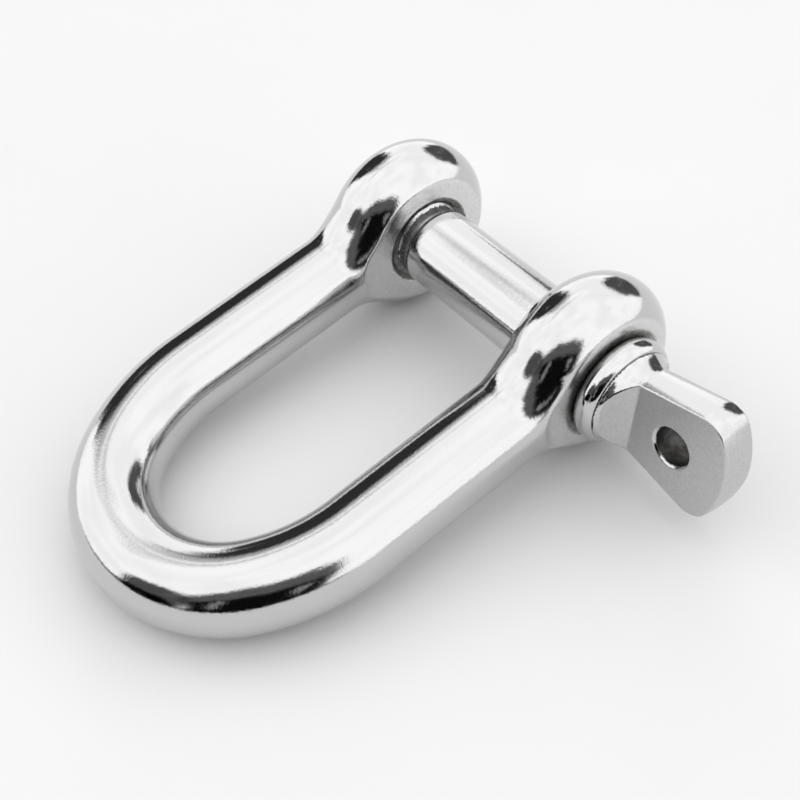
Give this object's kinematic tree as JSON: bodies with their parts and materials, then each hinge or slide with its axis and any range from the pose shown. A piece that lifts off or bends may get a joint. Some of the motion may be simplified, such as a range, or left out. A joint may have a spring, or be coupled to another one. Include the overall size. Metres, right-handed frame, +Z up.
{
  "type": "dee shackle",
  "caption": "D-shaped round-bar shackle with flattened eyes, closed by a screw pin that has a flat spade head with an eyelet.",
  "frame": {"origin": "on the pin's axis, midway between the two eyes", "axes": "+Y along the pin from its spade head to its threaded tip; -X from the pin to the crown; +Z up from the flat surface it lies on"},
  "size_m": [0.0796, 0.0709, 0.0258],
  "materials": {
    "polished_stainless": "mirror polished stainless steel",
    "pin_stainless": "polished stainless steel, ground flats on the head"
  },
  "bodies": {
    "bow": {"bow": "polished_stainless"},
    "collar": {"collar": "polished_stainless"},
    "screw_pin": {"screw_pin": "pin_stainless"}
  },
  "joints": [
    {"name": "pin_advance", "type": "slide", "parent": "bow", "child": "collar", "axis": [0, -1, 0], "range_m": [0, 0.05075]},
    {"name": "pin_turn", "type": "hinge", "parent": "collar", "child": "screw_pin", "pos_m": [0, 0, 0], "axis": [0, -1, 0], "range_deg": [0, 10441]}
  ],
  "couplings": [
    {"joint": "pin_turn", "follows": "pin_advance", "rad_per_m": 3590.4}
  ]
}
